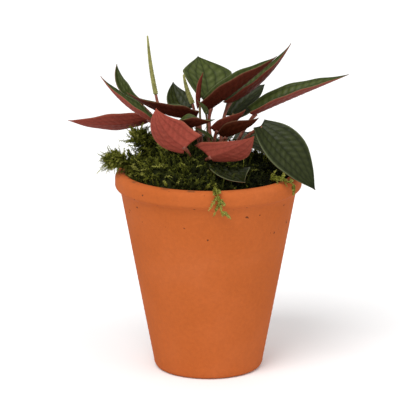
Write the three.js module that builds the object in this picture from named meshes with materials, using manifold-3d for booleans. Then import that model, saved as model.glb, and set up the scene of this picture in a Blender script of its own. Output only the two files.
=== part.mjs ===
// A potted peperomia: a small plant with boat-shaped leaves, green above and red beneath, and two
// thin flower spikes, growing from a low crown in a tapered clay pot that is topped with moss.
// Millimetres, +Z up. The origin is on the resting plane, on the pot's axis, and the front is -Y.
import * as THREE from "three";
import { mergeVertices } from "three/addons/utils/BufferGeometryUtils.js";
import Module from "manifold-3d";

const wasm = await Module();
wasm.setup();

// ---------- Driving dimensions ----------

const GAP = 0.35; // clearance between pieces that touch
const ROUND_SEGMENTS = 40; // facets round the pot and the soil

const POT = {
  height: 114,
  baseRadius: 31,
  baseCorner: 3.5,
  neckRadius: 49, // the plain wall just under the rim
  neckHeight: 101,
  rimRadius: 52.5,
  rimWidestHeight: 108.6,
  wall: 4.6,
  floor: 6,
  drainRadius: 6,
};

const SOIL_TOP = 98;
const CROWN = { height: 112, radius: 7.5, stubRadius: 5, stubDepth: 8 };

const BLADE = { rows: 8, halfColumns: 2, thickness: 1.1, tipWidth: 0.8 };

// The usual blade: where along it it is widest, how wide its base is, how blunt its point is, how far
// its base lobes reach back and how uneven its two halves are. A leaf may state its own, and a pair
// is for its right and its left half, seen from beneath with the tip up.
const SHAPE = { widest: 0.32, shoulder: 0.42, point: 1.7, lobe: 0.13, lean: 0 };
const PETIOLE = { radius: 1.0, sides: 6, steps: 6 };
const MOSS = { innerRadius: 9.5, innerHeight: 108, outerHeight: 111.5, rise: 3, columns: 7, segments: 36 };

// ---------- Leaves ----------

// Each leaf has its blade's base, the middle of its midrib and its tip, its full width, the way that
// its upper face looks, how far each half is folded up from flat (degrees), how much more it curls
// towards the margin (degrees), and its petiole's seat on the crown: azimuth from +X and tilt from
// the vertical, in degrees.
const LEAVES = [
  {
    name: "leaf_left_low", base: [-33, 5, 143.2], mid: [-54, 8, 138.4], tip: [-79, 10, 140.5],
    width: 16.5, face: [0, 0.74, 0.67], fold: 10, curl: 4, seat: [178, 76],
    widest: 0.45, lobe: 0.05,
  },
  {
    name: "leaf_left_narrow", base: [-32, -14, 146], mid: [-46, -20, 156.4], tip: [-59, -27, 173.5],
    width: 13, face: [0.62, -0.12, 0.79], fold: 33, curl: 6, seat: [197, 55],
    lobe: 0.05,
  },
  {
    name: "leaf_left_back", base: [-37.5, 13, 148.5], mid: [-49, 19, 156.5], tip: [-51.8, 24, 170],
    width: 10, face: [0.45, -0.8, 0.4], fold: 42, curl: 6, seat: [160, 55],
    widest: 0.5,
  },
  {
    name: "leaf_left_broad", base: [-6.5, -6, 146.3], mid: [-24, -7, 148], tip: [-45.5, -6, 160],
    width: 22, face: [0.23, 0.2, 0.95], fold: 28, curl: 10, seat: [230, 34],
    lobe: 0.04,
  },
  {
    name: "leaf_front_left", base: [-12.5, -33, 134.5], mid: [-23.8, -35, 144.8], tip: [-28.5, -36, 157.5],
    width: 22, face: [0.3, 0.95, 0], fold: 16, curl: 8, seat: [238, 76],
    widest: [0.35, 0.4], shoulder: [0.95, 0.4], lobe: [0.16, 0.05],
  },
  {
    name: "leaf_centre_curled", base: [-19, -19.5, 142.5], mid: [-8, -21, 144], tip: [3.5, -21, 148],
    width: 18, face: [0, 0.1, 1], fold: 33, curl: 10, seat: [222, 55],
    lobe: 0.05,
  },
  {
    name: "leaf_front_centre", base: [0.5, -35.6, 129.8], mid: [13, -41.6, 135.8], tip: [25, -38, 142.3],
    width: 21, face: [0.05, 0.98, 0.1], fold: 22, curl: 10, seat: [248, 55],
    widest: [0.6, 0.08], shoulder: [0.4, 0.9], lobe: [0, 0.34], lean: -0.1, point: [3, 1.05],
  },
  {
    name: "leaf_front_low", base: [11.2, -22, 120.8], mid: [12.8, -34.5, 120], tip: [20, -47, 118.5],
    width: 24, face: [0.2, -0.6, 0.77], fold: 10, curl: 5, seat: [298, 76],
    widest: 0.45, lean: 0.1,
  },
  {
    name: "leaf_right_hanging", base: [29, -14, 142.5], mid: [44, -22, 128.6], tip: [59.3, -24, 108.5],
    width: 25, face: [0.3, -0.8, 0.5], fold: 8, curl: 5, seat: [333, 55],
    widest: 0.42, shoulder: 0.36, lobe: 0.03, point: 2,
  },
  {
    name: "leaf_right_under", base: [23, 0, 132], mid: [33, -4, 128], tip: [43, -8, 119],
    width: 18, face: [0.1, -0.5, 0.86], fold: 12, curl: 5, seat: [0, 76],
  },
  {
    name: "leaf_right_long", base: [25.5, 2, 145.5], mid: [51, 2, 156.8], tip: [78.3, 0, 169],
    width: 21, face: [-0.37, -0.12, 0.92], fold: 26, curl: 10, seat: [8, 55],
    shoulder: 0.65, lobe: 0.03,
  },
  {
    name: "leaf_upper_front", base: [0.5, 2, 148.5], mid: [20, -3, 164], tip: [38, -8, 181],
    width: 22, face: [-0.61, 0.02, 0.78], fold: 41, curl: 10, seat: [330, 14],
    shoulder: 0.8, lobe: 0.03,
  },
  {
    name: "leaf_upper_back", base: [11, 7.5, 151], mid: [30, 8, 163], tip: [46.2, 6, 185.5],
    width: 18, face: [-0.6, -0.1, 0.79], fold: 32, curl: 8, seat: [30, 34],
    lobe: 0.05,
  },
  {
    name: "leaf_back_broad", base: [0, 18.5, 152], mid: [-2.5, 26, 163.5], tip: [-6, 34, 172.5],
    width: 33, face: [0.44, -0.61, 0.66], fold: 6, curl: 8, seat: [85, 34],
    widest: 0.5, lobe: 0.05, point: 1.2,
  },
  {
    name: "leaf_back_left", base: [-13, 17, 145], mid: [-18, 21, 151], tip: [-20, 25, 159.5],
    width: 16, face: [0.1, -0.75, 0.65], fold: 15, curl: 5, seat: [122, 55],
  },
  {
    name: "leaf_young_upright", base: [-5, 3, 151], mid: [-4.3, 3, 161.5], tip: [-3, 2, 169.7],
    width: 6, face: [-0.9, 0.1, 0.2], fold: 50, curl: 5, seat: [170, 14],
  },
  {
    name: "leaf_right_back", base: [13.5, 17, 141.5], mid: [23, 22, 150], tip: [32, 25, 158],
    width: 18, face: [-0.3, -0.7, 0.65], fold: 12, curl: 8, seat: [45, 55],
  },
  {
    name: "leaf_centre_small", base: [4, -8, 138.5], mid: [12.8, -12, 143.4], tip: [20.5, -14, 152],
    width: 12, face: [-0.5, 0.72, 0.38], fold: 28, curl: 10, seat: [300, 34],
  },
  {
    name: "leaf_centre_dark", base: [9, -17, 137], mid: [18, -23, 142], tip: [27.7, -26, 150],
    width: 16, face: [-0.45, 0.75, 0.45], fold: 28, curl: 10, seat: [305, 55],
  },
  {
    name: "leaf_young_a", base: [-1, -16, 150], mid: [-3, -17, 154], tip: [-6, -18, 158],
    width: 4, face: [0.5, -0.7, 0.4], fold: 20, curl: 5, seat: [250, 14],
  },
  {
    name: "leaf_young_b", base: [2, -16, 136], mid: [-3, -19, 140], tip: [-8, -20, 143],
    width: 4, face: [0.3, -0.5, 0.8], fold: 20, curl: 5, seat: [272, 55],
  },
  {
    name: "leaf_rear_centre", base: [4, 19, 124], mid: [6, 38, 122.5], tip: [8, 56, 115.6],
    width: 24, face: [0, 0.3, 0.95], fold: 18, curl: 5, seat: [96, 76],
  },
  {
    name: "leaf_rear_left", base: [-15, 20, 124], mid: [-25, 38, 123.5], tip: [-34, 54, 116.5],
    width: 20, face: [-0.1, 0.3, 0.95], fold: 18, curl: 5, seat: [122, 76],
  },
  {
    name: "leaf_rear_right", base: [20, 14, 127], mid: [32, 28, 124], tip: [45, 42, 115.6],
    width: 22, face: [0.2, 0.3, 0.95], fold: 18, curl: 5, seat: [42, 76],
  },
];

// Each flower spike has its seat on the crown, the point where the bare stalk ends and its tip.
const SPIKES = [
  {
    name: "flower_spike_tall", seat: [178, 34], stalk: [-29.5, 6, 156.5],
    tip: [-34, 6, 190], radius: 1.4,
  },
  {
    name: "flower_spike_short", seat: [130, 34], stalk: [-9, 9, 150.5],
    tip: [-14, 10, 167], radius: 1.6,
  },
];

// Loose tufts and sprigs of moss: the path that each follows, and its radius half-way along.
const TUFTS = [
  {
    name: "moss_tuft_left", radius: 4.5, sides: 8, steps: 8,
    path: [[-36, -12, 118.5], [-44, -9, 121.5], [-52, -6, 122], [-59, -5, 122.5]],
  },
  {
    name: "moss_tuft_rear_left", radius: 5, sides: 8, steps: 8,
    path: [[-26, 10, 118], [-35, 6, 122], [-42, 2, 126], [-46, -2, 129]],
  },
  {
    name: "moss_sprig_front", radius: 1.6, sides: 6, steps: 10,
    path: [[2, -41, 116.5], [4, -47, 117.2], [5, -53.5, 114.5], [6, -55, 109], [8, -55, 101]],
  },
  {
    name: "moss_sprig_right", radius: 1.4, sides: 6, steps: 8,
    path: [[33, -29, 116], [38, -31, 116.8], [44, -32, 115.5], [48, -30, 112]],
  },
];

// ---------- Solids ----------

const vec = (p) => new THREE.Vector3(...p);
const radians = THREE.MathUtils.degToRad;

// A solid through rings of points. Each ring has the same number of points, and goes
// counterclockwise seen from the last ring. A cyclic loft closes on its first ring.
function loft(rings, cyclic = false) {
  const count = rings[0].length;
  const positions = rings.flat().flatMap((p) => [p.x, p.y, p.z]);
  const index = [];
  const spans = cyclic ? rings.length : rings.length - 1;
  for (let i = 0; i < spans; i++) {
    const a = i * count;
    const b = ((i + 1) % rings.length) * count;
    for (let j = 0; j < count; j++) {
      const k = (j + 1) % count;
      index.push(a + j, a + k, b + k, a + j, b + k, b + j);
    }
  }
  if (!cyclic) {
    const last = (rings.length - 1) * count;
    capStrip(count).forEach(([p, q, r]) => {
      index.push(p, r, q);
      index.push(last + p, last + q, last + r);
    });
  }
  const geometry = new THREE.BufferGeometry();
  geometry.setAttribute("position", new THREE.Float32BufferAttribute(positions, 3));
  geometry.setIndex(index);
  return geometry;
}

// Triangles that fill a ring by zigzagging across it, so that a flat, wide ring stays closed.
function capStrip(count) {
  const triangles = [];
  let low = 0;
  let high = count - 1;
  while (high - low > 1) {
    triangles.push([low, low + 1, high]);
    low++;
    if (high - low > 1) triangles.push([low, high - 1, high]);
    high--;
  }
  return triangles;
}

function toSolid(geometry) {
  for (const name of ["normal", "uv"]) geometry.deleteAttribute(name);
  const merged = mergeVertices(geometry, 1e-4);
  const vertProperties = merged.attributes.position.array;
  const triVerts = new Uint32Array(merged.index.array);
  return new wasm.Manifold(new wasm.Mesh({ numProp: 3, vertProperties, triVerts }));
}

function toGeometry(solid) {
  const mesh = solid.getMesh();
  const geometry = new THREE.BufferGeometry();
  geometry.setAttribute("position", new THREE.BufferAttribute(mesh.vertProperties, 3));
  geometry.setIndex(new THREE.BufferAttribute(mesh.triVerts, 1));
  geometry.computeVertexNormals();
  return geometry;
}

function join(geometries) {
  const solids = geometries.map(toSolid);
  return toGeometry(solids.reduce((whole, next) => whole.add(next)));
}

// A round tube along a curve, with a radius for each share of its length.
function tube(curve, radiusAt, sides, steps) {
  const frames = curve.computeFrenetFrames(steps);
  const rings = [];
  for (let i = 0; i <= steps; i++) {
    const centre = curve.getPointAt(i / steps);
    const ring = [];
    for (let j = 0; j < sides; j++) {
      const a = (j / sides) * Math.PI * 2;
      const across = frames.normals[i].clone().multiplyScalar(Math.cos(a));
      across.addScaledVector(frames.binormals[i], Math.sin(a));
      ring.push(centre.clone().addScaledVector(across, radiusAt(i / steps)));
    }
    rings.push(ring);
  }
  return loft(rings);
}

// ---------- Pot, soil and crown ----------

function potGeometry() {
  const { height, rimRadius, rimWidestHeight, neckRadius, neckHeight, wall } = POT;
  const corner = new THREE.Path();
  corner.moveTo(POT.drainRadius, 0);
  corner.lineTo(POT.baseRadius - POT.baseCorner, 0);
  corner.quadraticCurveTo(POT.baseRadius, 0, POT.baseRadius, POT.baseCorner);
  corner.lineTo(neckRadius, neckHeight);
  corner.quadraticCurveTo(neckRadius + 0.4, neckHeight + 2, rimRadius - 1.2, neckHeight + 3.6);
  corner.quadraticCurveTo(rimRadius, neckHeight + 4.6, rimRadius, rimWidestHeight);
  corner.quadraticCurveTo(rimRadius, height, rimRadius - 3.6, height);
  corner.quadraticCurveTo(rimRadius - 7, height, rimRadius - 7, height - 4);
  corner.lineTo(POT.baseRadius - wall, POT.floor + 2);
  corner.lineTo(POT.baseRadius - wall - 2, POT.floor);
  corner.lineTo(POT.drainRadius, POT.floor);
  corner.closePath();
  return new THREE.LatheGeometry(corner.getPoints(3), ROUND_SEGMENTS);
}

// The pot's inner radius at a height: a straight taper from the floor to the rim.
function innerRadius(z) {
  const low = POT.baseRadius - POT.wall;
  const high = POT.rimRadius - 7;
  return low + ((z - POT.floor - 2) / (POT.height - 4 - POT.floor - 2)) * (high - low);
}

function soilGeometry() {
  const low = POT.floor + GAP;
  const pocket = CROWN.stubRadius + GAP;
  const pocketFloor = SOIL_TOP - CROWN.stubDepth - GAP;
  const profile = [
    [0, low],
    [innerRadius(low + 2) - 2.6, low],
    [innerRadius(low + 2) - GAP, low + 2],
    [innerRadius(SOIL_TOP) - GAP, SOIL_TOP],
    [pocket + 1, SOIL_TOP],
    [pocket, SOIL_TOP - 1],
    [pocket, pocketFloor],
    [0, pocketFloor],
  ];
  const points = profile.map(([r, z]) => new THREE.Vector2(r, z));
  return new THREE.LatheGeometry(points, ROUND_SEGMENTS);
}

// The crown is a short stem: a knob that the petioles sit on, with a stub down into the soil.
function crownGeometry() {
  const profile = new THREE.Path();
  profile.moveTo(0, SOIL_TOP - CROWN.stubDepth);
  profile.lineTo(CROWN.stubRadius - 1, SOIL_TOP - CROWN.stubDepth);
  profile.lineTo(CROWN.stubRadius, SOIL_TOP);
  profile.quadraticCurveTo(CROWN.radius, CROWN.height - 7, CROWN.radius, CROWN.height);
  profile.absarc(0, CROWN.height, CROWN.radius, 0, Math.PI / 2, false);
  return new THREE.LatheGeometry(profile.getPoints(4), 20);
}

// A seat on the crown: the point a gap above the knob's surface, and the way out of it.
function seatOf([azimuth, tilt]) {
  const out = new THREE.Vector3(
    Math.sin(radians(tilt)) * Math.cos(radians(azimuth)),
    Math.sin(radians(tilt)) * Math.sin(radians(azimuth)),
    Math.cos(radians(tilt)),
  );
  const knob = new THREE.Vector3(0, 0, CROWN.height);
  return { point: knob.addScaledVector(out, CROWN.radius + GAP), out };
}

// ---------- Leaf ----------

// A leaf's shape on the side of s.
function shapeOf(leaf, s) {
  const shape = { ...SHAPE, ...leaf };
  const pick = (value) => (Array.isArray(value) ? value[s > 0 ? 1 : 0] : value);
  const [widest, shoulder, point, lobe] = [shape.widest, shape.shoulder, shape.point, shape.lobe].map(pick);
  return { widest, shoulder, point, lobe, lean: shape.lean };
}

// Half the blade's width at a share t of its length and on the side of s, as a share of its widest
// half. A leaf that leans is wider on one side at its base.
function outline(leaf, t, s) {
  const { widest, shoulder, point, lean } = shapeOf(leaf, s);
  const uneven = 1 + lean * Math.sign(s) * (1 - t);
  if (t < widest) return uneven * (shoulder + (1 - shoulder) * Math.sin((t / widest) * (Math.PI / 2)));
  const u = (t - widest) / (1 - widest);
  return uneven * Math.pow(1 - Math.pow(u, point), 1.15);
}

// A point of the blade's middle surface. t runs from base to tip and s from -1 to 1 across.
function bladePoint(leaf, midrib, t, s) {
  const side = Math.abs(s);
  const length = midrib.getLength();
  const half = Math.max(outline(leaf, t, s) * leaf.width, BLADE.tipWidth) / 2;
  const back = shapeOf(leaf, s).lobe * Math.pow(side, 1.5) * Math.pow(1 - t, 4);
  const along = t - back;
  const tangent = midrib.getTangent(Math.max(along, 0));
  const centre = midrib.getPoint(Math.max(along, 0));
  if (along < 0) centre.addScaledVector(tangent, along * length);
  const up = vec(leaf.face).projectOnPlane(tangent).normalize();
  const across = new THREE.Vector3().crossVectors(tangent, up);
  const angle = radians(leaf.fold + leaf.curl * side);
  centre.addScaledVector(across, Math.sign(s) * half * side * Math.cos(angle));
  return centre.addScaledVector(up, half * side * Math.sin(angle));
}

function midribOf(leaf) {
  const [base, mid, tip] = [vec(leaf.base), vec(leaf.mid), vec(leaf.tip)];
  const control = mid.clone().multiplyScalar(2).addScaledVector(base, -0.5).addScaledVector(tip, -0.5);
  return new THREE.QuadraticBezierCurve3(base, control, tip);
}

function bladeGeometry(leaf) {
  const midrib = midribOf(leaf);
  const thickness = Math.min(BLADE.thickness, leaf.width * 0.16);
  const columns = 2 * BLADE.halfColumns;
  const rings = [];
  for (let i = 0; i <= BLADE.rows; i++) {
    const t = i / BLADE.rows;
    const upper = [];
    const lower = [];
    for (let j = 0; j <= columns; j++) {
      const s = (2 * j) / columns - 1;
      const point = bladePoint(leaf, midrib, t, s);
      const ahead = bladePoint(leaf, midrib, Math.min(t + 0.02, 1), s);
      const behind = bladePoint(leaf, midrib, Math.max(t - 0.02, 0), s);
      const left = bladePoint(leaf, midrib, t, Math.max(s - 0.1, -1));
      const right = bladePoint(leaf, midrib, t, Math.min(s + 0.1, 1));
      const normal = right.sub(left).cross(ahead.sub(behind)).normalize();
      upper.push(point.clone().addScaledVector(normal, thickness / 2));
      lower.push(point.clone().addScaledVector(normal, -thickness / 2));
    }
    rings.push([...upper, ...lower.reverse()]);
  }
  return loft(rings);
}

// The petiole leaves its seat, arches and runs into the blade's base.
function petioleGeometry(leaf) {
  const { point, out } = seatOf(leaf.seat);
  const base = vec(leaf.base);
  const reach = base.distanceTo(point);
  const arrive = base.clone().sub(point).normalize();
  arrive.addScaledVector(midribOf(leaf).getTangent(0), 0.5).normalize();
  const inside = base.clone().addScaledVector(midribOf(leaf).getTangent(0), 0.8);
  const curve = new THREE.CubicBezierCurve3(
    point,
    point.clone().addScaledVector(out, reach * 0.35),
    base.clone().addScaledVector(arrive, -reach * 0.3),
    inside,
  );
  const radius = Math.min(PETIOLE.radius, leaf.width * 0.12);
  return tube(curve, (t) => radius * (1.1 - 0.25 * t), PETIOLE.sides, PETIOLE.steps);
}

function leafGeometry(leaf) {
  return join([bladeGeometry(leaf), petioleGeometry(leaf)]);
}

// ---------- Flower spike ----------

function spikeGeometry(spike) {
  const { point, out } = seatOf(spike.seat);
  const [stalk, tip] = [vec(spike.stalk), vec(spike.tip)];
  const rise = stalk.distanceTo(point);
  const upward = tip.clone().sub(stalk).normalize();
  const path = new THREE.CurvePath();
  path.add(
    new THREE.CubicBezierCurve3(
      point,
      point.clone().addScaledVector(out, rise * 0.4),
      stalk.clone().addScaledVector(upward, -rise * 0.35),
      stalk,
    ),
  );
  path.add(new THREE.LineCurve3(stalk, tip));
  const stalkShare = path.getCurveLengths()[0] / path.getLength();
  const radiusAt = (t) => {
    if (t < stalkShare) return 0.9;
    const u = (t - stalkShare) / (1 - stalkShare);
    return spike.radius * (1 - 0.75 * u * u);
  };
  const smooth = new THREE.CatmullRomCurve3(path.getSpacedPoints(12));
  return tube(smooth, radiusAt, 8, 12);
}

// ---------- Moss ----------

// The moss mat's top: uneven, highest between the wall and the crown, and lowest at the crown.
function mossHeight(angle, share) {
  const edge = MOSS.outerHeight + (MOSS.innerHeight - MOSS.outerHeight) * share;
  const uneven = Math.sin(angle * 3 + 1) + 0.8 * Math.sin(angle * 7 + 2) + 0.5 * Math.sin(angle * 11);
  return edge + (MOSS.rise + 0.7 * uneven) * Math.sin(share * Math.PI);
}

function mossMatGeometry() {
  const bottom = SOIL_TOP + GAP;
  const outer = innerRadius(POT.height - 4) - 0.8;
  const rings = [];
  for (let i = 0; i < MOSS.segments; i++) {
    const a = (i / MOSS.segments) * Math.PI * 2;
    const at = (r, z) => new THREE.Vector3(r * Math.cos(a), r * Math.sin(a), z);
    const ring = [at(innerRadius(bottom) - 0.8, bottom), at(MOSS.innerRadius, bottom)];
    for (let j = MOSS.columns; j >= 0; j--) {
      const share = j / MOSS.columns;
      ring.push(at(outer + (MOSS.innerRadius - outer) * share, mossHeight(a, share)));
    }
    rings.push(ring);
  }
  return loft(rings, true);
}

// A tuft or a sprig of moss lies along a smooth path, thickest in the middle.
function tuftGeometry(tuft) {
  const curve = new THREE.CatmullRomCurve3(tuft.path.map(vec));
  const lumps = (t) => 1 + 0.12 * Math.sin(t * 19) + 0.08 * Math.sin(t * 31 + 1);
  const radiusAt = (t) => tuft.radius * lumps(t) * (0.35 + 0.65 * Math.sin(Math.PI * t));
  return tube(curve, radiusAt, tuft.sides, tuft.steps);
}

function build() {
  const plant = new THREE.Group();
  const add = (name, geometry, color, roughness) => {
    const material = new THREE.MeshStandardMaterial({ color, roughness, metalness: 0 });
    const mesh = new THREE.Mesh(geometry, material);
    mesh.name = name;
    plant.add(mesh);
    return mesh;
  };
  // Lathes turn about +Y, so this stands them up along +Z.
  const standUp = (mesh) => mesh.rotateX(Math.PI / 2);
  standUp(add("pot", potGeometry(), 0xc4673a, 0.9));
  standUp(add("potting_soil", soilGeometry(), 0x3a2a1c, 1));
  standUp(add("crown", crownGeometry(), 0x6b3a28, 0.7));
  add("moss_mat", mossMatGeometry(), 0x3c4a1c, 1);
  for (const tuft of TUFTS) add(tuft.name, tuftGeometry(tuft), 0x6a7a2a, 1);
  for (const leaf of LEAVES) add(leaf.name, leafGeometry(leaf), 0x40572c, 0.5);
  for (const spike of SPIKES) add(spike.name, spikeGeometry(spike), 0x9aa03c, 0.6);
  return plant;
}

const plant = build();
export default plant;
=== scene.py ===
"""A potted peperomia: boat-shaped leaves, green above and red beneath, and two thin flower spikes,
in a tapered terracotta pot topped with moss. Lengths are in millimetres until a mesh is made."""

import math

import bpy
import numpy as np
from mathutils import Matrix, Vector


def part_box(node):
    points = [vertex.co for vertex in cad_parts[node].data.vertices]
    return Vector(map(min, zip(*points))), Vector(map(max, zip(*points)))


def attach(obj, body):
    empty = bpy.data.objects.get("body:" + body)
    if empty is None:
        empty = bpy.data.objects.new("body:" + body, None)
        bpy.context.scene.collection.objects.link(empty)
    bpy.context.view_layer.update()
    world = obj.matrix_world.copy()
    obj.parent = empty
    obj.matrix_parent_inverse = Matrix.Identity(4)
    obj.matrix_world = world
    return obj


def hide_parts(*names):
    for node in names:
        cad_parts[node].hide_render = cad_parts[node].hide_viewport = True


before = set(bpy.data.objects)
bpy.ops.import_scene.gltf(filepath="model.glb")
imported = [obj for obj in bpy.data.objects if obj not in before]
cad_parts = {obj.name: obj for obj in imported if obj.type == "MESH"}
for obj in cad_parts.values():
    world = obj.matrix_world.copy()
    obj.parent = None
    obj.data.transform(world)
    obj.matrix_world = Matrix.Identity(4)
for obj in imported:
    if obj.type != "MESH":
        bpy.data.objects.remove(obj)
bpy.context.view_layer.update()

MM = 0.001  # metres in a millimetre
TAU = 2 * math.pi
rng = np.random.default_rng(7)


def box_mm(node):
    """A CAD node's lowest and highest corners, in millimetres."""
    low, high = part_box(node)
    return np.array(low) / MM, np.array(high) / MM


POT_LOW, POT_HIGH = box_mm("pot")
POT_HEIGHT = POT_HIGH[2]
RIM_RADIUS = POT_HIGH[0]
CROWN_LOW, CROWN_HIGH = box_mm("crown")
KNOB_RADIUS = CROWN_HIGH[0]
KNOB_HEIGHT = CROWN_HIGH[2] - KNOB_RADIUS
MOSS_LOW, MOSS_HIGH = box_mm("moss_mat")

# ---------- Leaves ----------

# The same leaves as in the CAD: the blade's base, the middle of its midrib and its tip, its width,
# the way its upper face looks, its fold and its curl in degrees, and its petiole's seat on the
# crown. "under" is painted shade on the underside, from a lit pink at 0 to a near-black
# red at 1; "tone_and_shade" is how light the green is, partly the leaf's own tone and partly
# painted shade on the leaves that sit in shadow; and "wave" is the ruffle of the margin. "widest",
# "shoulder", "point", "lobe" and "lean" change the outline, as in the CAD, and a pair is for the
# left and the right half, seen from above with the tip up.
LEAVES = [
    dict(name="leaf_left_low", base=(-33, 5, 143.2), mid=(-54, 8, 138.4), tip=(-79, 10, 140.5),
         width=16.5, face=(0, 0.74, 0.67), fold=10, curl=4, seat=(178, 76), under=0.22, lobe=0.05,
         widest=0.45),
    dict(name="leaf_left_narrow", base=(-32, -14, 146), mid=(-46, -20, 156.4),
         tip=(-59, -27, 173.5), width=13, face=(0.62, -0.12, 0.79), fold=33, curl=6,
         seat=(197, 55), under=0.1, lobe=0.05, tone_and_shade=0.85),
    dict(name="leaf_left_back", base=(-37.5, 13, 148.5), mid=(-49, 19, 156.5),
         tip=(-51.8, 24, 170), width=10, face=(0.45, -0.8, 0.4), fold=42, curl=6, seat=(160, 55),
         under=0.3, widest=0.5, tone_and_shade=0.85),
    dict(name="leaf_left_broad", base=(-6.5, -6, 146.3), mid=(-24, -7, 148), tip=(-45.5, -6, 160),
         width=22, face=(0.23, 0.2, 0.95), fold=28, curl=10, seat=(230, 34), under=0.85, lobe=0.04,
         tone_and_shade=0.85),
    dict(name="leaf_front_left", base=(-12.5, -33, 134.5), mid=(-23.8, -35, 144.8),
         tip=(-28.5, -36, 157.5), width=22, face=(0.3, 0.95, 0), fold=16, curl=8, seat=(238, 76),
         under=0.0, lobe=(0.16, 0.05), widest=(0.35, 0.4), shoulder=(0.95, 0.4)),
    dict(name="leaf_centre_curled", base=(-19, -19.5, 142.5), mid=(-8, -21, 144),
         tip=(3.5, -21, 148), width=18, face=(0, 0.1, 1), fold=33, curl=10, seat=(222, 55),
         under=0.9, lobe=0.05, wave=1.0, tone_and_shade=1.1),
    dict(name="leaf_front_centre", base=(0.5, -35.6, 129.8), mid=(13, -41.6, 135.8),
         tip=(25, -38, 142.3), width=21, face=(0.05, 0.98, 0.1), fold=22, curl=10, seat=(248, 55),
         under=0.3, lobe=(0.0, 0.34), widest=(0.6, 0.08), shoulder=(0.4, 0.9), lean=-0.1,
         point=(3, 1.05)),
    dict(name="leaf_front_low", base=(11.2, -22, 120.8), mid=(12.8, -34.5, 120),
         tip=(20, -47, 118.5), width=24, face=(0.2, -0.6, 0.77), fold=10, curl=5, seat=(298, 76),
         under=0.5, widest=0.45, lean=0.1, tone_and_shade=0.26),
    dict(name="leaf_right_hanging", base=(29, -14, 142.5), mid=(44, -22, 128.6),
         tip=(59.3, -24, 108.5), width=25, face=(0.3, -0.8, 0.5), fold=8, curl=5, seat=(333, 55),
         under=0.4, lobe=0.03, shoulder=0.36, widest=0.42, point=2, tone_and_shade=0.38),
    dict(name="leaf_right_under", base=(23, 0, 132), mid=(33, -4, 128), tip=(43, -8, 119),
         width=18, face=(0.1, -0.5, 0.86), fold=12, curl=5, seat=(0, 76), under=0.5, tone_and_shade=0.48),
    dict(name="leaf_right_long", base=(25.5, 2, 145.5), mid=(51, 2, 156.8), tip=(78.3, 0, 169),
         width=21, face=(-0.37, -0.12, 0.92), fold=26, curl=10, seat=(8, 55), under=0.35,
         lobe=0.03, shoulder=0.65, tone_and_shade=0.95),
    dict(name="leaf_upper_front", base=(0.5, 2, 148.5), mid=(20, -3, 164), tip=(38, -8, 181),
         width=22, face=(-0.61, 0.02, 0.78), fold=41, curl=10, seat=(330, 14), under=0.85,
         lobe=0.03, shoulder=0.8, tone_and_shade=0.95),
    dict(name="leaf_upper_back", base=(11, 7.5, 151), mid=(30, 8, 163), tip=(46.2, 6, 185.5),
         width=18, face=(-0.6, -0.1, 0.79), fold=32, curl=8, seat=(30, 34), under=0.55, lobe=0.05,
         tone_and_shade=0.95),
    dict(name="leaf_back_broad", base=(0, 18.5, 152), mid=(-2.5, 26, 163.5), tip=(-6, 34, 172.5),
         width=33, face=(0.44, -0.61, 0.66), fold=6, curl=8, seat=(85, 34), under=0.4, lobe=0.05,
         widest=0.5, point=1.2, tone_and_shade=1.0),
    dict(name="leaf_back_left", base=(-13, 17, 145), mid=(-18, 21, 151), tip=(-20, 25, 159.5),
         width=16, face=(0.1, -0.75, 0.65), fold=15, curl=5, seat=(122, 55), under=0.5, tone_and_shade=0.48),
    dict(name="leaf_young_upright", base=(-5, 3, 151), mid=(-4.3, 3, 161.5), tip=(-3, 2, 169.7),
         width=6, face=(-0.9, 0.1, 0.2), fold=50, curl=5, seat=(170, 14), under=0.5),
    dict(name="leaf_right_back", base=(13.5, 17, 141.5), mid=(23, 22, 150), tip=(32, 25, 158),
         width=18, face=(-0.3, -0.7, 0.65), fold=12, curl=8, seat=(45, 55), under=0.5, wave=1.0,
         tone_and_shade=0.4),
    dict(name="leaf_centre_small", base=(4, -8, 138.5), mid=(12.8, -12, 143.4),
         tip=(20.5, -14, 152), width=12, face=(-0.5, 0.72, 0.38), fold=28, curl=10, seat=(300, 34),
         under=0.6),
    dict(name="leaf_centre_dark", base=(9, -17, 137), mid=(18, -23, 142), tip=(27.7, -26, 150),
         width=16, face=(-0.45, 0.75, 0.45), fold=28, curl=10, seat=(305, 55), under=1.0),
    dict(name="leaf_young_a", base=(-1, -16, 150), mid=(-3, -17, 154), tip=(-6, -18, 158), width=4,
         face=(0.5, -0.7, 0.4), fold=20, curl=5, seat=(250, 14), under=0.5),
    dict(name="leaf_young_b", base=(2, -16, 136), mid=(-3, -19, 140), tip=(-8, -20, 143), width=4,
         face=(0.3, -0.5, 0.8), fold=20, curl=5, seat=(272, 55), under=0.5),
    dict(name="leaf_rear_centre", base=(4, 19, 124), mid=(6, 38, 122.5), tip=(8, 56, 115.6),
         width=24, face=(0, 0.3, 0.95), fold=18, curl=5, seat=(96, 76), under=0.4),
    dict(name="leaf_rear_left", base=(-15, 20, 124), mid=(-25, 38, 123.5), tip=(-34, 54, 116.5),
         width=20, face=(-0.1, 0.3, 0.95), fold=18, curl=5, seat=(122, 76), under=0.4),
    dict(name="leaf_rear_right", base=(20, 14, 127), mid=(32, 28, 124), tip=(45, 42, 115.6),
         width=22, face=(0.2, 0.3, 0.95), fold=18, curl=5, seat=(42, 76), under=0.4),
]

SPIKES = [
    dict(name="flower_spike_tall", seat=(178, 34), stalk=(-29.5, 6, 156.5), tip=(-34, 6, 190),
         radius=1.35),
    dict(name="flower_spike_short", seat=(130, 34), stalk=(-9, 9, 150.5), tip=(-14, 10, 167),
         radius=1.5),
]

# ---------- Mesh helpers ----------


def unit(v):
    v = np.asarray(v, float)
    return v / np.maximum(np.linalg.norm(v, axis=-1, keepdims=True), 1e-9)


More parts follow.
